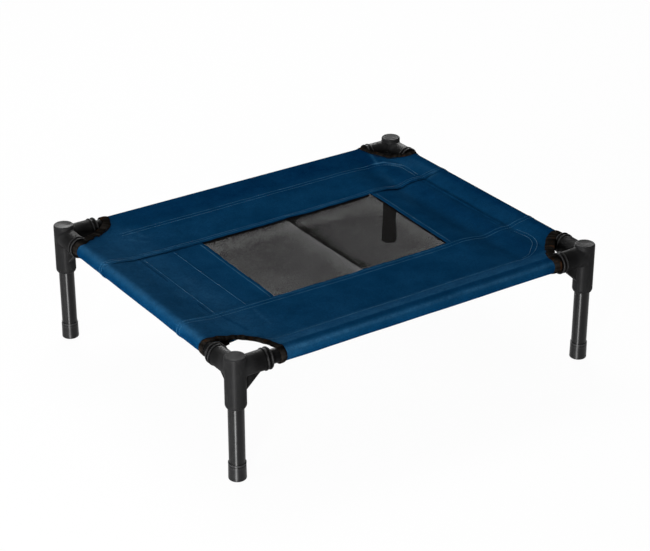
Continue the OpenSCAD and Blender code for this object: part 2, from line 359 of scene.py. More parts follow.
def sleeve_rise(d, hem):
    """Height of a sleeve's upper side over its hem, at a distance from the rail's axis."""
    upper, _ = loop_angles(hem)
    touch = LOOP_R * math.cos(upper)
    rise = RAIL_Z - HEM_Z
    on_rail = rise + np.sqrt(np.clip(LOOP_R**2 - d**2, 0, None))
    straight = (rise + LOOP_R * math.sin(upper)) * (hem - d) / (hem - touch)
    soft = 0.5 * (straight + np.sqrt(straight**2 + HEM_SOFT**2))
    return np.where(d < touch, on_rail, soft)


def bow(t, ends):
    """0 at both ends and beyond, 1 half way."""
    low, high = ends
    return np.clip(4 * (t - low) * (high - t) / (high - low) ** 2, 0, 1)


def crease(x):
    """The packing fold: a long slope up to the ridge and a short one down."""
    t = x - CREASE_X
    left = np.clip(1 + t / CREASE_LEFT, 0, 1) ** 2
    return CREASE_RISE * np.where(t < 0, left, np.exp(-np.clip(t, 0, None) / CREASE_RIGHT))


def cutout_curve(side_x, side_y, count=91):
    """Edge of a cut-out, inboard of its post, from the long rail round to the side rail."""
    corners = np.array(CUTOUTS[side_x, side_y])
    t = np.linspace(0, 1, count)[:, None]
    return sum(share * t**k * (1 - t) ** (3 - k) * corners[k] for k, share in enumerate((1, 3, 3, 1)))


def from_cutout(x, y):
    """Angle round the nearest post, and distance from the edge of its cut-out."""
    x, y = np.broadcast_arrays(x, y)
    from_x, from_y = HALF[X] - np.abs(x), HALF[Y] - np.abs(y)
    angle = np.arctan2(np.clip(from_y, 0, None), np.clip(from_x, 0, None))
    radius = np.zeros(angle.shape)
    for side_x, side_y in CUTOUTS:
        curve = cutout_curve(side_x, side_y)
        turned = np.arctan2(curve[:, Y], curve[:, X])
        here = (side_x * x >= 0) & (side_y * y >= 0)
        radius = np.where(here, np.interp(angle, turned, np.hypot(*curve.T)), radius)
    return angle, np.hypot(from_x, from_y) - radius


def puckers(x, y):
    """Ripples that stitching draws up."""
    total = 0
    for axis, places, height, half, length, width, first in SEAM_PUCKERS:
        across, along = (x, y) if axis == X else (y, x)
        for seed, place in enumerate(places, first):
            total = total + height * bump(across, place, half) * waves(along / length, across / width, seed)
    angle, from_edge = from_cutout(x, y)
    which = 3 * np.sign(x) + 7 * np.sign(y)
    drawn = CUTOUT_PUCKER * np.exp(-np.clip(from_edge, 0, None) / CUTOUT_PUCKER_FADE)
    return total + drawn * waves(CUTOUT_PUCKERS * angle + which, from_edge / CUTOUT_PUCKER_LENGTH, seed=51)


def wrinkles(x, y):
    """Low, broad unevenness of cloth under tension."""
    inside = ease((HALF[X] - np.abs(x)) / WRINKLE_FADE) * ease((HALF[Y] - np.abs(y)) / WRINKLE_FADE)
    return inside * sum(height * waves(x / long, y / wide, seed) for height, long, wide, seed in WRINKLES)


def deck_form(x, y):
    """Height of the deck, without its unevenness."""
    rises = [sleeve_rise(HALF[Y] - side * y, hem) for side, hem in HEM_Y.items()]
    rises += [sleeve_rise(HALF[X] - side * x, hem) for side, hem in HEM_X.items()]
    sag = -DECK_SAG * bow(x, DECK_X) * bow(y, DECK_Y)
    middle = within(y, WINDOW_Y, CREASE_PAST, CREASE_FADE)
    right_folds = sum(height * bump(x, place, half) for place, half, height in RIGHT_FOLDS)
    folds = crease(x) * middle + right_folds * np.sqrt(bow(y, DECK_Y))
    return HEM_Z + np.max(rises, axis=0) + sag + folds


def deck_height(x, y):
    """Height of the middle of the cloth of the strips."""
    return deck_form(x, y) + wrinkles(x, y) + puckers(x, y)


def cloth_painted_light(points):
    """How much painted sheen (over nought) or painted shade (under it) the cloth carries."""
    total = 0
    for (axis, side), (places, painted_light) in ROLL_PAINTED_LIGHT.items():
        d = HALF[axis] - side * points[:, axis]
        round_rail = LOOP_R * np.arctan2(-d, points[:, Z] - RAIL_Z)
        total = total + np.interp(np.where(d > 0, -d, round_rail), places, painted_light)
    total = total * (1 + PAINTED_LIGHT_UNEVEN * waves(points[:, X] / PAINTED_LIGHT_PATCH, points[:, Y] / PAINTED_LIGHT_PATCH, seed=95))
    for start, end, half, painted_light in CREASE_PAINTED_LIGHT:
        start, run = np.array(start), np.subtract(end, start)
        along = np.clip((points[:, :Z] - start) @ run / (run @ run), 0, 1)
        off = np.linalg.norm(points[:, :Z] - start - along[:, None] * run, axis=1)
        total = total + painted_light * bump(off, 0, half)
    return total


# Sections of the cloth, as rows of stations: distance inboard of the rail axis, height over it (none where
# the cloth lies on the deck), outward direction, and level of the cloth along that direction
D, HEIGHT, OUT_D, OUT_Z, LEVEL = range(5)
ON_DECK = np.nan


def stations(d, height=ON_DECK, out_d=0, out_z=1, level=0):
    d = np.atleast_1d(np.asarray(d, float))
    return np.column_stack(np.broadcast_arrays(d, height, out_d, out_z, level))


def on_deck(rows):
    """Which stations follow the deck."""
    return np.isnan(rows[:, HEIGHT])


def on_top(rows):
    """Which of them lie on its upper side, as a column."""
    return (on_deck(rows) & (rows[:, OUT_Z] > 0))[:, None]


def spread(start, end, step=STEP):
    """Evenly spaced values from start up to, and without, end."""
    count = max(1, round(abs(end - start) / step))
    return start + (end - start) * np.arange(count) / count


def sleeve(hem, top=math.pi / 2):
    """From the tail under the hem, by the lower side and round the rail, to an angle above it."""
    _, lower = loop_angles(hem)
    leave = LOOP_R * np.array([math.cos(lower), math.sin(lower)])
    tip = np.array([hem, HEM_Z - RAIL_Z - UNDER])
    share = spread(0, 1, STEP / math.dist(tip, leave))
    run = tip + share[:, None] * (leave - tip)
    angle = spread(lower, top, STEP / LOOP_R)
    return np.concatenate([
        stations(spread(hem + TAIL, hem), out_z=-1, level=UNDER),
        stations(run[:, 0], run[:, 1], math.cos(lower), math.sin(lower)),
        stations(LOOP_R * np.cos(angle), LOOP_R * np.sin(angle), np.cos(angle), np.sin(angle)),
    ])


def folded_edge(depth):
    """Half a turn at the edge, and the cloth folded back."""
    turn = np.linspace(0, math.pi, FOLD_POINTS)
    bend = stations(depth + FOLD_R * np.sin(turn), level=FOLD_R * (np.cos(turn) - 1))
    back = stations(spread(depth - STEP / 2, depth - FOLD_UNDER), level=-2 * FOLD_R)
    return np.concatenate([bend, back])


def run_length(rows):
    """Length along a section, measured on its own stations."""
    flat_on = on_deck(rows)
    height = np.where(flat_on, 0, rows[:, HEIGHT])
    flat = np.diff(np.column_stack([rows[:, D], height + rows[:, LEVEL]]), axis=0)
    flat[flat_on[1:] != flat_on[:-1], 1] = 0
    return np.concatenate([[0], np.cumsum(np.hypot(*flat.T))])


def edge_reach(side_x, side_y, axis, rows):
    """How far a cut-out reaches along a rail; the lower layer may be cut back."""
    curve = cutout_curve(side_x, side_y)[::1 if axis == Y else -1]
    d = rows[..., D]
    below = ease(-rows[..., OUT_Z]) * ease(d / LOOP_R)
    reach = np.interp(d, curve[:, axis], curve[:, 1 - axis])
    return reach + UNDER_BACK.get((side_x, side_y, axis), 0) * below


def lay(axis, side, rows, along, lift=0):
    """Points of a section's rows, at places along a rail."""
    d, height, out_d, out_z, level = (column[:, None] for column in rows.T)
    across = side * (HALF[axis] - d) + 0 * along
    along = along + 0 * across
    x, y = (across, along) if axis == X else (along, across)
    z = np.where(np.isnan(height), deck_height(x, y), RAIL_Z + height)
    uneven = waves(along / UNDER_WAVE, d / UNDER_WAVE_ROUND, seed=61 + side + 2 * axis)
    level = level + lift + UNDER_UNEVEN * (1 - out_z) * uneven
    points = np.stack([x, y, z], axis=-1)
    points[..., axis] -= side * out_d * level
    points[..., Z] += out_z * level
    return points


def outward(axis, side, rows):
    """Outward directions of a section's cloth."""
    out = np.zeros((len(rows), 3))
    out[:, axis] = -side * rows[:, OUT_D]
    out[:, Z] = rows[:, OUT_Z]
    return out


# Meshes


class Patchwork:
    """A piece sewn from several grids, with the flat coordinates of its cut."""

    def __init__(self):
        self.points, self.flats, self.quads, self.count = [], [], [], 0

    def grid(self, points, *flat):
        """Adds points with two flat coordinates, and gives their numbers."""
        index = self.count + np.arange(points.shape[0] * points.shape[1]).reshape(points.shape[:2])
        self.points.append(points.reshape(-1, 3))
        self.flats.append(np.stack(np.broadcast_arrays(*flat), axis=-1).reshape(-1, 2))
        self.count += index.size
        return index

    def faces(self, index, flip=False):
        """Joins a grid of numbers by quads."""
        corners = [index[:-1, :-1], index[:-1, 1:], index[1:, 1:], index[1:, :-1]]
        if flip:
            corners.reverse()
        self.quads.append(np.stack(corners, axis=-1).reshape(-1, 4))

    def cut(self):
        """Size and area of the cloth laid flat, in metres."""
        flat, quads = np.concatenate(self.flats), np.concatenate(self.quads)
        a, b = flat[quads[:, 2]] - flat[quads[:, 0]], flat[quads[:, 3]] - flat[quads[:, 1]]
        area = np.abs(a[:, 0] * b[:, 1] - a[:, 1] * b[:, 0]).sum() / 2 * MM**2
        return (flat.max(0) - flat.min(0)) * MM, float(area)

    def piece(self, name, material, thickness=None):
        points, flat = np.concatenate(self.points), np.concatenate(self.flats)
        piece = make_piece(name, points, np.concatenate(self.quads), material, flat, thickness)
        # Marks each piece with the cloth's painted sheen and painted shade
        mark(piece, "painted_light", cloth_painted_light(points))
        return piece


def put(name, data):
    """A new object in the scene."""
    thing = bpy.data.objects.new(name, data)
    bpy.context.scene.collection.objects.link(thing)
    return thing


def make_piece(name, points, faces, material, flat=None, thickness=None):
    """A smooth mesh object from points in millimetres, with a flat map in metres."""
    mesh = bpy.data.meshes.new(name)
    mesh.from_pydata((points * MM).tolist(), [], [list(face) for face in faces])
    mesh.polygons.foreach_set("use_smooth", np.ones(len(mesh.polygons), bool))
    if flat is not None:
        corner = np.zeros(len(mesh.loops), int)
        mesh.loops.foreach_get("vertex_index", corner)
        mesh.uv_layers.new(name="cloth").data.foreach_set("uv", (flat[corner] * MM).ravel())
    mesh.materials.append(material)
    mesh.update()
    piece = put(name, mesh)
    if thickness:
        shell = piece.modifiers.new("thickness", "SOLIDIFY")
        shell.thickness = thickness * MM
        shell.offset = 0
    return piece


def mark(piece, name, values):
    """Gives each point a value that the material reads by name."""
    piece.data.attributes.new(name, "FLOAT", "POINT").data.foreach_set("value", values)


def tubes(rings):
    """Points and quads of closed tubes, from points by tube, ring and place."""
    number = np.arange(rings.size // 3).reshape(rings.shape[:3])
    turned = np.roll(number, -1, axis=2)
    sides = np.stack([number[:, :-1], turned[:, :-1], turned[:, 1:], number[:, 1:]], axis=-1)
    return rings.reshape(-1, 3), np.concatenate([sides.reshape(-1, 4), number[:, 0, ::-1], number[:, -1]])


def dress(piece, slot, *nodes):
    """Puts a piece on the frame's body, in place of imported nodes."""
    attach(piece, "frame")
    if nodes:
        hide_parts(*nodes)
    return piece


# Materials


class Nodes:
    """The node tree of a material or world, with short calls for its nodes."""

    def __init__(self, owner, **sockets):
        owner.use_nodes = True
        self.owner, self.tree = owner, owner.node_tree
        self.shader = self.tree.nodes.get("Principled BSDF")
        for socket, value in sockets.items():
            self.shader.inputs[socket.replace("_", " ")].default_value = value

    def link(self, output, node, socket):
        self.tree.links.new(output, node.inputs[socket])

    def add(self, kind, sockets=None, **settings):
        """A node; a socket takes a value, or the output of another node."""
        node = self.tree.nodes.new(kind)
        for setting, value in settings.items():
            setattr(node, setting, value)
        for socket, value in (sockets or {}).items():
            if isinstance(value, bpy.types.NodeSocket):
                self.link(value, node, socket)
            else:
                node.inputs[socket].default_value = value
        return node

    def math(self, operation, *values):
        return self.add("ShaderNodeMath", dict(enumerate(values)), operation=operation).outputs[0]

    def attribute(self, name):
        return self.add("ShaderNodeAttribute", attribute_name=name).outputs["Fac"]

    def flat_map(self):
        return self.add("ShaderNodeUVMap", uv_map="cloth").outputs["UV"]

    def noise(self, scale, detail, roughness=0.5, vector=None):
        vector = vector or self.add("ShaderNodeTexCoord").outputs["Object"]
        sockets = {"Scale": scale, "Detail": detail, "Roughness": roughness, "Vector": vector}
        return self.add("ShaderNodeTexNoise", sockets).outputs["Fac"]

    def between(self, value, span, to=(0, 1)):
        """A value brought from a span to another, and held there."""
        sockets = {"Value": value, "From Min": span[0], "From Max": span[1], "To Min": to[0], "To Max": to[1]}
        return self.add("ShaderNodeMapRange", sockets).outputs["Result"]

    def mottle(self, scale, detail, roughness=0.5, span=(0.3, 0.7), to=(0, 1), vector=None):
        """Noise brought from a span to another."""
        return self.between(self.noise(scale, detail, roughness, vector), span, to)

    def mix(self, share, first, second, **settings):
        """A mix of two colours, each a tuple or the output of a node."""
        ends = [(*end, 1) if isinstance(end, tuple) else end for end in (first, second)]
        sockets = {0: share, 6: ends[0], 7: ends[1]}
        return self.add("ShaderNodeMix", sockets, data_type="RGBA", **settings).outputs[2]

    def scaled(self, colour, share):
        return self.mix(1, colour, share, blend_type="MULTIPLY")

    def raised(self, height, strength, distance, normal=None):
        sockets = {"Height": height, "Strength": strength, "Distance": distance}
        if normal:
            sockets["Normal"] = normal
        return self.add("ShaderNodeBump", sockets).outputs["Normal"]

    def show_white(self, lit, white, output):
        """Shows white to rays that show the background, and the lit surface to all others."""
        rays = self.add("ShaderNodeLightPath").outputs
        seen = rays["Is Camera Ray"]
        for name in ("Is Glossy Ray", "Is Transmission Ray"):
            seen = self.math("MAXIMUM", seen, rays[name])
        shown = self.add("ShaderNodeMixShader", {0: seen, 1: lit, 2: white}).outputs[0]
        self.link(shown, self.tree.nodes[output], "Surface")

    def finish(self, **outputs):
        for socket, output in outputs.items():
            self.link(output, self.shader, socket.replace("_", " "))
        return self.owner


def material(name, **sockets):
    return Nodes(bpy.data.materials.new(name), **sockets)


def upright_material(name, gloss, stretch):
    """A material whose highlights are stretched along upright walls."""
    nodes = material(name, Specular_IOR_Level=gloss, Anisotropic=stretch, Anisotropic_Rotation=0.25)
    tangent = nodes.add("ShaderNodeTangent", direction_type="RADIAL", axis="Z").outputs[0]
    nodes.link(tangent, nodes.shader, "Tangent")
    return nodes


# Finishes: the dark and light tone of each, and what else sets it
WEAVE_PITCH = 0.8
RIB_PITCH = 0.9
CLOTH_TONES = (0.0016, 0.0265, 0.0700), (0.0036, 0.0375, 0.0935)
# Colour added as painted sheen, and the share of colour kept under painted shade
PAINTED_SHEEN_TINT = (0.0053, 0.016, 0.027)
PAINTED_SHADE_TINT = (0.3, 0.63, 0.75)
NET_TONES = (0.0042, 0.0040, 0.0037), (0.0064, 0.0060, 0.0056)
TAPE_TONES = (0.0105, 0.0092, 0.0081), (0.036, 0.0155, 0.0065)
THREAD_TONES = (0.011, 0.062, 0.130), (0.034, 0.112, 0.200)
CONNECTOR_TONES = (0.0098, 0.0098, 0.0101), (0.0145, 0.0145, 0.0148)
FOOT_TONES = (0.0024, 0.0024, 0.0026), (0.0040, 0.0040, 0.0042)
COAT_TONES = (0.0018, 0.0018, 0.0020), (0.0030, 0.0030, 0.0032)
# How much lighter the painted highlights on convex edges are than the plastic's light tone
EDGE_PAINTED_HIGHLIGHT = 4


def weave(nodes, flat):
    """Height of a plain weave, from the piece's flat map."""
    parts = nodes.add("ShaderNodeSeparateXYZ", {0: flat})
    turns = math.pi / (WEAVE_PITCH * MM)
    warp, weft = (nodes.math("SINE", nodes.math("MULTIPLY", parts.outputs[k], turns)) for k in (0, 1))
    return nodes.math("SQRT", nodes.math("ABSOLUTE", nodes.math("MULTIPLY", warp, weft)))


def cloth_material():
    sheen = {"Sheen_Weight": 0.1, "Sheen_Roughness": 0.35, "Sheen_Tint": (0.02, 0.3, 0.9, 1)}
    nodes = material("deck_cloth", Specular_IOR_Level=0, **sheen)
    threads = weave(nodes, nodes.flat_map())
    colour = nodes.mix(nodes.mottle(26, 5, 0.62, span=(0.34, 0.66)), *CLOTH_TONES)
    # Painted sheen is added where the cloth's mark is over nought, and painted shade multiplied in where it is
    # under
    painted_light = nodes.math("MULTIPLY", nodes.attribute("painted_light"), nodes.mottle(130, 3, to=(0.7, 1.3)))
    painted_sheen = nodes.math("MAXIMUM", painted_light, 0)
    painted_sheen = nodes.mix(painted_sheen, colour, PAINTED_SHEEN_TINT, blend_type="ADD", clamp_factor=False)
    colour = nodes.mix(nodes.between(painted_light, (0, -1)), painted_sheen, nodes.scaled(colour, PAINTED_SHADE_TINT))
    slubs = nodes.mottle(420, 3, 0.65, to=(0.78, 1.12))
    shades = nodes.between(threads, (0, 1), (0.72, 1.08))
    colour = nodes.scaled(colour, nodes.math("MULTIPLY", slubs, shades))
    rough = nodes.mottle(160, 3, to=(0.5, 0.62))
    rumple = nodes.raised(nodes.noise(95, 4, 0.55), 0.25, 0.0008)
    normal = nodes.raised(threads, 0.3, 0.00012, rumple)
    return nodes.finish(Base_Color=colour, Roughness=rough, Normal=normal)


def net_material():
    nodes = material("window_mesh", Specular_IOR_Level=0.01)
    colour = nodes.mix(nodes.mottle(35, 3), *NET_TONES)
    return nodes.finish(Base_Color=colour, Roughness=nodes.mottle(600, 2, to=(0.42, 0.6)))


def tape_material():
    nodes = material("binding_tape", Specular_IOR_Level=0)
    flat = nodes.flat_map()
    along = nodes.add("ShaderNodeSeparateXYZ", {0: flat}).outputs[0]
    turns = math.pi / (RIB_PITCH * MM)
    ribs = nodes.math("ABSOLUTE", nodes.math("SINE", nodes.math("MULTIPLY", along, turns)))
    drawn = nodes.add("ShaderNodeVectorMath", {0: flat, 1: (1, 0.12, 1)}, operation="MULTIPLY").outputs[0]
    # Painted shade and painted light in streaks across the tape, where its gathers fold
    gather_painted_shading = nodes.mottle(190, 2, span=(0.38, 0.62), to=(0.4, 1.5), vector=drawn)
    colour = nodes.mix(nodes.mottle(75, 3, span=(0.58, 0.72)), *TAPE_TONES)
    shades = nodes.between(ribs, (0, 1), (0.6, 1.1))
    colour = nodes.scaled(colour, nodes.math("MULTIPLY", gather_painted_shading, shades))
    rough = nodes.mottle(300, 2, to=(0.68, 0.82))
    return nodes.finish(Base_Color=colour, Roughness=rough, Normal=nodes.raised(ribs, 0.5, 0.0002))


def thread_material():
    nodes = material("stitch_thread", Specular_IOR_Level=0.08, Specular_Tint=(0.2, 0.55, 0.95, 1))
    colour = nodes.mix(nodes.mottle(70, 4, span=(0.35, 0.65)), *THREAD_TONES)
    return nodes.finish(Base_Color=colour, Roughness=nodes.mottle(900, 2, to=(0.45, 0.62)))


def plastic_material(name, tones, rough, gloss, with_painted_shade=False):
    """Moulded plastic: fine grain, rubbed patches of roughness, painted shade in hollows and painted highlights
    on convex edges.
    """
    nodes = upright_material(name, gloss, 0.75)
    edges = nodes.add("ShaderNodeNewGeometry").outputs["Pointiness"]
    colour = nodes.mix(nodes.mottle(60, 5, 0.6, span=(0.52, 0.72)), *tones)
    # Painted shade, darker in hollows and grooves
    colour = nodes.scaled(colour, nodes.between(edges, (0.42, 0.5), (0.2, 1)))
    # Painted shade on the arms and in the rings' grooves, from the connectors' mark
    if with_painted_shade:
        colour = nodes.scaled(colour, nodes.attribute("painted_shade"))
    # Painted highlights, lighter along convex edges and ring crests
    painted_edge_highlight = tuple(EDGE_PAINTED_HIGHLIGHT * part for part in tones[1])
    colour = nodes.mix(nodes.between(edges, (0.52, 0.58)), colour, painted_edge_highlight)
    grain = nodes.raised(nodes.noise(1500, 3, 0.6), 0.12, 0.00012)
    patches = nodes.mottle(90, 4, to=(rough - 0.05, rough + 0.07))
    return nodes.finish(Base_Color=colour, Roughness=patches, Normal=grain)


def coat_material(name, gloss):
    """Gloss powder coat: orange peel and a few dull specks."""
    nodes = upright_material(name, gloss, 0.85)
    colour = nodes.mix(nodes.mottle(45, 3, span=(0.35, 0.65)), *COAT_TONES)
    rough = nodes.mottle(240, 4, span=(0.35, 0.7), to=(0.34, 0.41))
    peel = nodes.raised(nodes.noise(700, 2, 0.45), 0.06, 0.0002)
    return nodes.finish(Base_Color=colour, Roughness=rough, Normal=peel)


CLOTH = cloth_material()
NET = net_material()
TAPE = tape_material()
THREAD = thread_material()
CONNECTOR = plastic_material("connector_plastic", CONNECTOR_TONES, 0.5, 0.026, with_painted_shade=True)
FOOT = plastic_material("foot_plastic", FOOT_TONES, 0.38, 0.2)
COAT = coat_material("tube_powder_coat", 0.2)
RAIL_COAT = coat_material("rail_powder_coat", 0.03)


# Long strips


def edge_lift(side, d, x):
    """How far a strip rises towards its folded edge."""
    ragged = 1 + LIFT_UNEVEN * waves(x / LIFT_WAVE, 0 * d, seed=71 + side)
    drawn = 1 - (1 - LIFT_ON_RAIL) * ease((np.abs(x) - HALF[X] + LIFT_FADE) / LIFT_FADE)
    return EDGE_LIFT[side] * ragged * drawn * ease((d - STRIP_DEPTH[side] + LIFT_WIDTH) / LIFT_WIDTH)


def tuck_mark(x, y):
    """How far a strip rides up over the ends of the side panels."""
    over_y = within(y, WINDOW_Y, TUCK, TUCK_FADE)
    panels = ((-HALF[X], WINDOW_X[0]), (WINDOW_X[1], HALF[X]))
    return sum(TUCK_RISE * within(x, panel, 0, TUCK_FADE) * over_y for panel in panels)


def strip(side):
    """A long strip: sleeve, deck and folded edge, with ends rolled on the side rails."""
    depth = STRIP_DEPTH[side]
    upper, _ = loop_angles(HEM_Y[side])
    loop = sleeve(HEM_Y[side], upper)
    near, far = sorted(CUTOUTS[end, side][-1][Y] for end in (LEFT, RIGHT))
    fine = near - FINE_BAND
    deck = np.concatenate([
        spread(LOOP_R * math.cos(upper), fine),
        spread(fine, near, FINE_STEP),
        spread(near, far, FINE_STEP),
        spread(far, depth),
    ])
    rows = np.concatenate([loop, stations(deck), folded_edge(depth)])
    run = run_length(rows)

    cloth = Patchwork()
    left, right = (end * (HALF[X] - edge_reach(end, side, Y, rows[:, None])) for end in (LEFT, RIGHT))
    x = left + (right - left) * np.linspace(0, 1, round(2 * HALF[X] / STEP) + 1)
    d = rows[:, D, None]
    lift = np.where(on_top(rows), edge_lift(side, d, x) + tuck_mark(x, side * (HALF[Y] - d)), 0)
    main = cloth.grid(lay(Y, side, rows, x, lift), x, run[:, None])
    cloth.faces(main, flip=side == FRONT)

    for end in (LEFT, RIGHT):
        wrap = sleeve(HEM_X[end])[::-1]
        start = CUTOUTS[end, side][-1][Y]
        first_past = len(loop) + np.flatnonzero(deck > start - FINE_STEP / 2)[0]
        past = rows[first_past:]
        along = past[:, D]
        bound = edge_reach(end, side, X, wrap[:, None])
        warped = bound + (along - start) * (depth - bound) / (depth - start)
        raised = edge_lift(side, along, end * HALF[X]) + past[:, LEVEL]
        points = lay(X, end, wrap, side * (HALF[Y] - warped), raised).swapaxes(0, 1)
        reach = HALF[X] + SEAM_GAP + run_length(wrap)
        index = cloth.grid(points, end * reach, run[first_past:, None])
        seam = main[first_past:, 0 if end == LEFT else -1]
        cloth.faces(np.concatenate([seam[:, None], index], axis=1), flip=end * side < 0)
    return cloth.piece(f"strip_{NAMES_Y[side]}", CLOTH, CLOTH_T), *cloth.cut()


# Side panels


def panel_depth(side, y):
    """Width of a side panel: the window isn't quite square."""
    share = (y - WINDOW_Y[0]) / (WINDOW_Y[1] - WINDOW_Y[0])
    start, growth = PANEL_SKEW[side]
    return PANEL_DEPTH[side] + start + growth * share


def panel_lift(side, d, y):
    """How far a side panel rises towards the window, between the strips."""
    between = within(y, WINDOW_Y, -PANEL_LIFT_START, PANEL_LIFT_FADE)
    ragged = 1 + PANEL_UNEVEN * waves(y / PANEL_WAVE, 0 * d, seed=75 + side)
    start = panel_depth(side, y) - PANEL_LIFT_WIDTH
    return PANEL_LIFT * ragged * between * ease((d - start) / PANEL_LIFT_WIDTH)


def side_panel(side):
    """A side panel: a sleeve between the strips' rolled ends, and a deck tucked under them."""
    hem, depth = HEM_X[side], PANEL_DEPTH[side]
    upper, _ = loop_angles(hem)
    touch = LOOP_R * math.cos(upper)
    roll = np.concatenate([sleeve(hem, upper), stations(spread(touch, hem))])
    inner = np.concatenate([stations(spread(hem, depth)), folded_edge(depth)])
    run = run_length(np.concatenate([roll, inner]))[:, None]
    low, high = WINDOW_Y[0] - TUCK, WINDOW_Y[1] + TUCK
    y = np.linspace(low, high, round((high - low) / STEP) + 1)
    sewn = (y > WINDOW_Y[0] - SLEEVE_TUCK) & (y < WINDOW_Y[1] + SLEEVE_TUCK)

    cloth = Patchwork()
    wide = hem + (inner[:, D, None] - hem) * (panel_depth(side, y) - hem) / (depth - hem)
    rows = np.repeat(inner[:, None, :], len(y), axis=1)
    rows[..., D] = wide
    lift = panel_lift(side, wide, y) - LAYER
    columns = [lay(X, side, rows[:, k], y[k: k + 1], lift[:, k: k + 1])[:, 0] for k in range(len(y))]
    deck = cloth.grid(np.stack(columns, axis=1), run[len(roll):], y)
    cloth.faces(deck, flip=side == RIGHT)

    sunk = np.where(on_top(roll), -LAYER * ease((roll[:, D, None] - touch) / (hem - touch)), 0)
    index = cloth.grid(lay(X, side, roll, y[sewn], sunk), run[:len(roll)], y[sewn])
    cloth.faces(np.concatenate([index, deck[:1, sewn]]), flip=side == RIGHT)
    return cloth.piece(f"panel_{NAMES_X[side]}", CLOTH, CLOTH_T), *cloth.cut()


# The net


def strands(points, across):
    """Strands through rows of points, a little uneven in thickness."""
    angle = np.arange(STRAND_SIDES) * 2 * math.pi / STRAND_SIDES
    ring = STRAND_D / 2 * (np.outer(np.cos(angle), across) + np.outer(np.sin(angle), UP))
    uneven = 1 + STRAND_UNEVEN * waves(points[..., X] / 16, points[..., Y] / 11, seed=91)
    uneven += STRAND_SCATTER * np.random.default_rng(92).uniform(-1, 1, (len(points), 1))
    return tubes(points[:, :, None, :] + uneven[..., None, None] * ring)


def net_level(x, y):
    """Height of the net, which is sewn lower on the left and higher at the back."""
    dip = NET_DIP * np.exp(-np.clip(x - WINDOW_X[0], 0, None) / NET_DIP_REACH)
    rise = NET_BACK_RISE * ease((y - WINDOW_Y[1] + NET_BACK_REACH) / NET_BACK_REACH)
    return deck_form(x, y) + NET_SLACK * wrinkles(x, y) + NET_LEVEL - dip + rise


def hem_rise(x, y, share, sewn):
    """Height of the hem over the net, up to the cloth that it is sewn to."""
    return share * (deck_height(x, y) + sewn - net_level(x, y)) - (1 - share) * NET_HEM_DROP


def net_piece(name, *layers):
    """Layers of strands: grids of x and y, height over the net, and the axis that they follow."""
    points, faces = [], []
    for gx, gy, rise, axis in layers:
        rows = np.stack([gx, gy, net_level(gx, gy) + rise], axis=-1)
        across = np.array([0, 1, 0])
        if axis == Y:
            rows = rows.swapaxes(0, 1)
            across = np.array([-1, 0, 0])
        corners, quads = strands(rows, across)
        faces.append(quads + sum(map(len, points)))
        points.append(corners)
    return make_piece(name, np.concatenate(points), np.concatenate(faces), NET)


def net():
    """The window of crossed strands, and its hem, doubled under the panels."""
    x, y = (np.arange(low - NET_LAP, high + NET_LAP, NET_PITCH) for low, high in (WINDOW_X, WINDOW_Y))
    at_fold = spread(CREASE_X - NET_FOLD, CREASE_X + NET_FOLD, NET_PITCH)
    before, after = spread(x[0], at_fold[0], NET_STEP), spread(x[-1], at_fold[-1], NET_STEP)[::-1]
    along_x = np.concatenate([before, at_fold, after])
    along_y = np.append(spread(y[0], y[-1], NET_STEP), y[-1])
    weft = (*np.meshgrid(along_x, y), STRAND_RISE, X)
    warp = (*np.meshgrid(x, along_y), -STRAND_RISE, Y)
    piece = net_piece("net", weft, warp)

    inset = spread(0, NET_LAP, NET_PITCH / 2)
    share = inset / NET_LAP
    layers = []
    for side in (LEFT, RIGHT):
        edge = side * (HALF[X] - panel_depth(side, along_y))[:, None]
        gx, gy = edge + side * inset, along_y[:, None] + 0 * inset
        layers.append((gx, gy, hem_rise(gx, gy, share, NET_SEWN_X), Y))
    inside = along_x[(along_x > WINDOW_X[0]) & (along_x < WINDOW_X[1])]
    open_x = np.concatenate([WINDOW_X[:1], inside, WINDOW_X[1:]])
    for side, edge in zip((FRONT, BACK), WINDOW_Y):
        gx, gy = np.meshgrid(open_x, edge + side * inset)
        layers.append((gx, gy, hem_rise(gx, gy, share[:, None], NET_SEWN_Y), X))
    hem = net_piece("net_hem", *layers)
    return piece, hem, np.array([x[-1] - x[0], y[-1] - y[0]]) * MM


# Bindings


def cutout_edge(side_x, side_y):
    """Edge of a cut-out, from under one sleeve to under the other, with outward directions."""
    sides, hems = (side_x, side_y), (HEM_X[side_x], HEM_Y[side_y])
    ends, outs = {}, {}
    for axis in (X, Y):
        rows = sleeve(hems[axis])
        rows = rows[~on_deck(rows) & (rows[:, D] < rows[:, D].max() - TAIL - TAPE_SHORT)]
        along = sides[1 - axis] * (HALF[1 - axis] - edge_reach(side_x, side_y, axis, rows))
        places = [lay(axis, sides[axis], rows[k: k + 1], along[k: k + 1])[0, 0] for k in range(len(rows))]
        ends[axis] = np.stack(places)
        outs[axis] = outward(axis, sides[axis], rows)
    curve = cutout_curve(side_x, side_y, BEND_POINTS)
    x, y = (post_place(side_x, side_y)[axis] - sides[axis] * curve[:, axis] for axis in (X, Y))
    arc = np.stack([x, y, deck_height(x, y)], axis=-1)
    edge = np.concatenate([ends[Y], arc, ends[X][::-1]])
    return edge, np.concatenate([outs[Y], np.tile(UP, (len(arc), 1)), outs[X][::-1]])


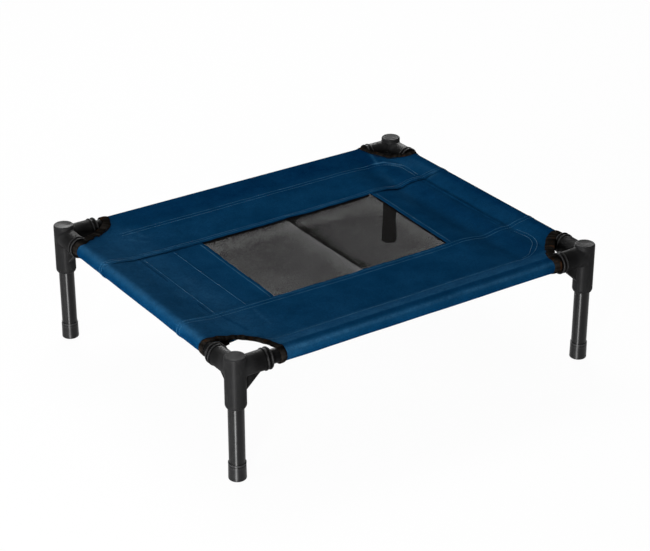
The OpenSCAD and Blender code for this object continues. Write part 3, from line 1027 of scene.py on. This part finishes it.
def binding(side_x, side_y):
    """Puckered tape, folded over the edge of a cut-out."""
    edge, out = cutout_edge(side_x, side_y)
    inward = np.cross(out, unit(np.gradient(edge, axis=0)))
    away = edge - post_place(side_x, side_y)
    away[:, Z] = 0
    inward = unit(inward * np.sign((inward * away).sum(1, keepdims=True)))
    run = path_length(edge)[:, None]

    tape_w = TAPE_W[side_x, side_y]
    face = tape_w * TAPE_FACE
    turn = np.linspace(math.pi / 2, -math.pi / 2, LIP_POINTS)
    inner = CLOTH_T / 2 + TAPE_ROOM - TAPE_T / 2
    section = []
    for order, room in ((1, inner + TAPE_T), (-1, inner)):
        rise = room + TAPE_PUFF * TAPE_BULGE
        width = np.concatenate([face, -(room + TAPE_LIP) * np.cos(turn), face[::-1]])
        height = np.concatenate([rise, rise[-1] * np.sin(turn), -rise[::-1]])
        section.append(np.stack([width, height], axis=1)[::order])
    section = np.concatenate(section)

    seed = 80 + 3 * side_x + side_y
    width, height = section.T
    upper = np.sign(height)
    reach = np.clip(width / tape_w, 0, 1)
    ripple = waves(run / RIPPLE_LENGTH, upper * 3.3, seed) * (RIPPLE_AT_LIP + (1 - RIPPLE_AT_LIP) * reach)
    ragged = waves(run / RAGGED_LENGTH, upper * 2.1, seed + 20) * reach
    width = width * (1 + RAGGED * ragged) - TAPE_SHIFT * waves(run / TAPE_SHIFT_LENGTH, 0.5, seed + 40)
    height = height + RIPPLE * ripple * upper
    least = CLOTH_T / 2 + TAPE_CLEAR
    height = np.where(upper > 0, np.maximum(height, least), np.minimum(height, -least))
    points = edge[:, None] + width[..., None] * inward[:, None] + height[..., None] * out[:, None]

    tape = Patchwork()
    index = tape.grid(points, run, path_length(section))
    tape.faces(np.concatenate([index, index[:, :1]], axis=1), flip=side_x * side_y < 0)
    return tape.piece(f"binding_{corner_name(side_x, side_y)}_tape", TAPE)


# Stitching


def sew(lines, name):
    """Thread stitches along lines of points and outward directions."""
    share, rise = STITCH_PROFILE.T
    stitches = []
    for line in lines:
        run = path_length(line[0])
        for begin in np.arange(0, run[-1] - STITCH, STITCH + STITCH_GAP):
            at = begin + share * STITCH
            centre, up = (np.stack([np.interp(at, run, part) for part in path.T], axis=1) for path in line)
            aside = unit(np.cross(up, centre[-1] - centre[0]))
            centre = centre + up * rise[:, None] * THREAD_R
            across = STITCH_SECTION[:, :1] * aside[:, None]
            stitches.append(centre[:, None] + across + STITCH_SECTION[:, 1:] * up[:, None])
    return make_piece(name, *tubes(np.stack(stitches)), THREAD)


def deck_line(x, y, level):
    """A line of stitching on the deck, on top of cloth at a level."""
    x, y = np.broadcast_arrays(np.asarray(x, float), np.asarray(y, float))
    points = np.stack([x, y, deck_height(x, y) + level + CLOTH_T / 2], axis=-1)
    return points, np.tile(UP, (len(points), 1))


def rolled_line(side, end, d):
    """A line of stitching round the rolled end of a strip."""
    wrap = sleeve(HEM_X[end])[::-end]
    wrap = wrap[~on_deck(wrap)]
    raised = edge_lift(side, d, end * HALF[X]) + CLOTH_T / 2
    points = lay(X, end, wrap, np.array([side * (HALF[Y] - d)]), raised)[:, 0]
    return points, outward(X, end, wrap)


def seam_line(side, inset):
    """A line of stitching along a strip's folded edge, on over the rolled ends."""
    d = STRIP_DEPTH[side] - inset
    x = spread(-HALF[X], HALF[X] + STEP)
    y = side * (HALF[Y] - d)
    middle = deck_line(x, y, edge_lift(side, d, x) + tuck_mark(x, y))
    left, right = (rolled_line(side, end, d) for end in (LEFT, RIGHT))
    return [np.concatenate(parts) for parts in zip(left, middle, right)]


def rounded(points):
    """A polyline with its corners rounded off, as x and y."""
    points = np.array(points, float)
    t = np.linspace(0, 1, HEM_BEND_POINTS)[:, None]
    path = [points[:1]]
    for before, corner, after in zip(points, points[1:], points[2:]):
        arms = np.stack([before, after]) - corner
        one, two = unit(arms) * min(HEM_BEND, *np.linalg.norm(arms, axis=1) / 2)
        path.append(corner + one * (1 - t) ** 2 + two * t**2)
    path = np.concatenate([*path, points[-1:]])
    run = path_length(path)
    at = np.append(spread(0, run[-1]), run[-1])
    return [np.interp(at, run, part) for part in path.T]


def strip_stitching(side):
    lines = [seam_line(side, inset) for inset in STRIP_ROWS]
    for row in HEM_ROWS[side]:
        x, y = rounded(row)
        lines.append(deck_line(x, y, tuck_mark(x, y)))
    return sew(lines, f"stitching_{NAMES_Y[side]}")


def panel_stitching(side):
    y = spread(WINDOW_Y[0] + PANEL_ROW_END, WINDOW_Y[1] - PANEL_ROW_END)
    rows = [panel_depth(side, y) - PANEL_EDGE_ROW]
    rows += [row + 0 * y for row in PANEL_ROWS[side]]
    lines = [deck_line(side * (HALF[X] - row), y, panel_lift(side, row, y) - LAYER) for row in rows]
    return sew(lines, f"stitching_{NAMES_X[side]}")


# Moulded connectors, as distances from their surface in the frame of one corner, u and v inboard of its post


def common(one, two, edge):
    """The distance from what two solids share, with a rounded edge."""
    corner = np.hypot(np.maximum(edge + one, 0), np.maximum(edge + two, 0))
    return np.minimum(-edge, np.maximum(one, two)) + corner


def joined(one, two, fillet):
    """The distance from two solids together, with a fillet where they meet."""
    return -common(-one, -two, fillet)


def arm(along, across, height):
    """An arm with two rings at its mouth."""
    radial = np.hypot(across, height)
    wall = radial - ARM_R
    bulge = (RING_W**2 / 4 + RING_RISE**2) / (2 * RING_RISE)
    for place in (ARM_REACH - RING_W / 2, ARM_REACH - RING_W / 2 - RING_PITCH):
        ring = np.hypot(along - place, radial - ARM_R - RING_RISE + bulge) - bulge
        wall = joined(wall, ring, RING_FILLET)
    return np.maximum(common(wall, along - ARM_REACH, EDGE_R), -along)


def web(along, across, height):
    """The thin triangle under an arm."""
    run, drop = WEB_REACH - POST_R, WEB_DEPTH - ARM_R
    slope = ((along - WEB_REACH) * drop - (height + ARM_R) * run) / math.hypot(run, drop)
    flat = common(slope, np.abs(across) - WEB_T / 2, EDGE_R)
    return np.maximum(np.maximum(flat, -along), height)


def post(radial, z):
    """The post, with its tapered mouth, rounded rim and dished top."""
    taper = ((radial - POST_R) * MOUTH_H - (z - POST_FOOT - MOUTH_H) * (POST_R - MOUTH_R))
    taper = taper / math.hypot(MOUTH_H, POST_R - MOUTH_R)
    body = common(radial - POST_R, taper, EDGE_R)
    body = common(body, POST_FOOT - z, EDGE_R / 2)
    body = common(body, z - POST_TOP, RIM_R)
    bowl_r = (DISH_R**2 + DISH_DEPTH**2) / (2 * DISH_DEPTH)
    bowl = np.hypot(radial, z - POST_TOP + DISH_DEPTH - bowl_r) - bowl_r
    return common(body, -bowl, 2 * EDGE_R)


def connector_distance(points):
    """The distance from a connector, with its three sockets open."""
    u, v, z = np.moveaxis(points, -1, 0)
    height, radial = z - RAIL_Z, np.hypot(u, v)
    arms = joined(arm(u, v, height), arm(v, u, height), ARM_FILLET)
    body = joined(post(radial, z), arms, ARM_FILLET)
    body = joined(body, np.minimum(web(u, v, height), web(v, u, height)), WEB_FILLET)
    sockets = [np.maximum(radial - LEG_R - SOCKET_ROOM, z - LEG_TOP)]
    for along, across in ((u, v), (v, u)):
        sockets.append(np.maximum(np.hypot(across, height) - RAIL_R - SOCKET_ROOM, RAIL_STOP - along))
    return common(body, -np.minimum.reduce(sockets), EDGE_R / 2)


def settled(points, distance):
    """Points moved onto the surface."""
    steps = SLOPE_REACH * np.eye(3)
    rises = [distance(points + step) - distance(points - step) for step in steps]
    slope = np.stack(rises, axis=-1) / (2 * SLOPE_REACH)
    share = distance(points) / np.maximum((slope**2).sum(-1), LEAST_SLOPE)
    return points - share[:, None] * slope


def skin(distance, low, high):
    """Points and quads of the surface on which a distance is zero, within a box."""
    axes = [np.arange(start, end + SKIN_STEP, SKIN_STEP) for start, end in zip(low, high)]
    nodes = np.stack(np.meshgrid(*axes, indexing="ij"), axis=-1)
    solid = (distance(nodes) < 0).astype(int)
    filled = sum(
        solid[tuple(slice(shift, size - 1 + shift) for shift, size in zip(corner, solid.shape))]
        for corner in np.ndindex(2, 2, 2)
    )
    crossed = (filled > 0) & (filled < 8)
    number = np.full(crossed.shape, -1)
    number[crossed] = np.arange(crossed.sum())
    points = nodes[:-1, :-1, :-1][crossed] + SKIN_STEP / 2
    quads = []
    for axis in (X, Y, Z):
        change = np.diff(solid, axis=axis)
        edges = np.argwhere(change)
        ring = []
        for one, two in ((0, 0), (-1, 0), (-1, -1), (0, -1)):
            shift = np.zeros(3, int)
            shift[[(axis + 1) % 3, (axis + 2) % 3]] = one, two
            ring.append(number[tuple((edges + shift).T)])
        ring = np.stack(ring, axis=1)
        entering = change[tuple(edges.T)] > 0
        ring[entering] = ring[entering, ::-1]
        quads.append(ring)
    quads = np.concatenate(quads)
    sides = np.concatenate([np.roll(quads, -turn, axis=1)[:, :2] for turn in range(4)])
    points = settled(points, distance)
    for _ in range(SKIN_PASSES):
        middle = np.stack([np.bincount(sides[:, 0], points[sides[:, 1], k]) for k in range(3)], axis=1)
        points = settled(middle / np.bincount(sides[:, 0])[:, None], distance)
    return points, quads


def connector_painted_shade(points):
    """Share of the plastic's colour kept under painted shade: all on the post, less on the arms, least in the
    rings' grooves.
    """
    u, v, z = points.T
    along = np.maximum(u, v)
    proud = np.hypot(np.minimum(u, v), z - RAIL_Z) - ARM_R
    arm_painted_shade_mask = ease((along - POST_R) / ARM_R)
    at_rings = ease((along - ARM_REACH + RING_PITCH + 2 * RING_W) / RING_W)
    groove_painted_shade_mask = at_rings * ease((RING_RISE - proud) / RING_RISE)
    return (1 - (1 - ARM_PAINTED_SHADE) * arm_painted_shade_mask) * (1 - (1 - GROOVE_PAINTED_SHADE) * groove_painted_shade_mask)


def connectors():
    """The four moulded corners: one shape and its mirror images."""
    outside = -(ARM_R + RING_RISE + SKIN_MARGIN)
    inside = ARM_REACH + SKIN_MARGIN
    low = (outside, outside, POST_FOOT - SKIN_MARGIN)
    high = (inside, inside, POST_TOP + SKIN_MARGIN)
    points, quads = skin(connector_distance, low, high)
    painted_shade = connector_painted_shade(points)
    for side_x, side_y in CUTOUTS:
        turned = post_place(side_x, side_y) + points * np.array([-side_x, -side_y, 1])
        name = corner_name(side_x, side_y)
        faces = quads if side_x * side_y > 0 else quads[:, ::-1]
        piece = make_piece(f"connector_{name}", turned, faces, CONNECTOR)
        # Marks the painted shade of the arms and the rings' grooves
        mark(piece, "painted_shade", painted_shade)
        dress(piece, "connector_plastic", f"corner_{name}")


# The dressed frame
for side_y in (FRONT, BACK):
    name = NAMES_Y[side_y]
    piece, size, area = strip(side_y)
    dress(piece, "deck_cloth", f"cover_{name}")
    trim = [dress(strip_stitching(side_y), "deck_cloth")]
    for side_x in (LEFT, RIGHT):
        tape = binding(side_x, side_y)
        trim.append(dress(tape, "binding_tape", f"binding_{corner_name(side_x, side_y)}"))

for side_x in (LEFT, RIGHT):
    name = NAMES_X[side_x]
    piece, size, area = side_panel(side_x)
    dress(piece, "deck_cloth", f"cover_{name}")
    trim = [dress(panel_stitching(side_x), "deck_cloth")]

piece, hem, size = net()
dress(piece, "window_mesh", "mesh_window")
dress(hem, "window_mesh")

connectors()


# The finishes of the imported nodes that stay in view
FINISHES = {"rail": RAIL_COAT, "leg": COAT, "foot": FOOT}
for node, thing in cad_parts.items():
    finish = FINISHES.get(node.split("_")[0])
    if finish:
        thing.data.materials.clear()
        thing.data.materials.append(finish)


# Camera, light and floor
LENS = 108.43
SENSOR = 36
CAMERA_AT = (-1.40534, -2.08499, 1.38476)
CAMERA_AZIMUTH = math.radians(-34.09)
CAMERA_ELEVATION = math.radians(26.79)
WHITE = (1, 1, 1, 1)
FILL_COLOUR = (0.97, 0.985, 1, 1)
FILL_STRENGTH = 0.16
FLOOR_REACH = 6
FLOOR_COLOUR = (0.9, 0.9, 0.9, 1)
FLOOR_GLOW = 0.96

# Lamps: place, the point that each faces, size, power, and whether it lights gloss only
LAMPS = {
    "back_softbox": ((0.5, 1.5, 2.4), (0, 0, 0.15), (1.8, 1.0), 42, False),
    "left_box": ((-2.4, -0.2, 0.5), (0, 0, 0.12), (1.4, 0.5), 41, False),
    "front_box": ((-1.75, -1.7, 0.45), (0, 0, 0.12), (0.5, 0.7), 66, False),
    "gloss_strip": ((-1.4, -1.36, 0.2), (0, 0, 0.12), (0.1, 0.36), 130, True),
    "gloss_back": ((0.85, 1.6, 0.8), (0, 0, 0.17), (1.4, 0.3), 46, True),
}


def aimed(name, data, place, ahead):
    """A camera or lamp at a place, turned to look along a direction."""
    thing = put(name, data)
    thing.location = place
    thing.rotation_mode = "QUATERNION"
    thing.rotation_quaternion = ahead.to_track_quat("-Z", "Y")
    return thing


def camera():
    data = bpy.data.cameras.new("camera")
    data.lens = LENS
    data.sensor_width = SENSOR
    ahead = Vector((
        -math.sin(CAMERA_AZIMUTH) * math.cos(CAMERA_ELEVATION),
        math.cos(CAMERA_AZIMUTH) * math.cos(CAMERA_ELEVATION),
        -math.sin(CAMERA_ELEVATION),
    ))
    bpy.context.scene.camera = aimed("camera", data, CAMERA_AT, ahead)


def studio():
    scene = bpy.context.scene
    scene.view_settings.view_transform = "Standard"
    scene.world = bpy.data.worlds.new("studio")
    nodes = Nodes(scene.world)
    fill = nodes.tree.nodes["Background"]
    fill.inputs["Color"].default_value = FILL_COLOUR
    fill.inputs["Strength"].default_value = FILL_STRENGTH
    plain = nodes.add("ShaderNodeBackground", {"Color": WHITE})
    nodes.show_white(fill.outputs[0], plain.outputs[0], "World Output")
    for name, (place, target, size, power, gloss_only) in LAMPS.items():
        data = bpy.data.lights.new(name, "AREA")
        data.shape = "RECTANGLE"
        data.size, data.size_y = size
        data.energy = power
        lamp = aimed(name, data, place, Vector(target) - Vector(place))
        lamp.visible_diffuse = not gloss_only


def floor():
    mesh = bpy.data.meshes.new("floor")
    corners = [(x * FLOOR_REACH, y * FLOOR_REACH, 0) for x, y in ((-1, -1), (1, -1), (1, 1), (-1, 1))]
    mesh.from_pydata(corners, [], [(0, 1, 2, 3)])
    nodes = material("floor", Roughness=0.9, Base_Color=FLOOR_COLOUR)
    lit = nodes.shader.outputs[0]
    glow = nodes.add("ShaderNodeEmission", {"Color": WHITE, "Strength": 1.0})
    pale = nodes.add("ShaderNodeMixShader", {0: FLOOR_GLOW, 1: lit, 2: glow.outputs[0]})
    nodes.show_white(lit, pale.outputs[0], "Material Output")
    mesh.materials.append(nodes.owner)
    ground = put("floor", mesh)


camera()
studio()
floor()
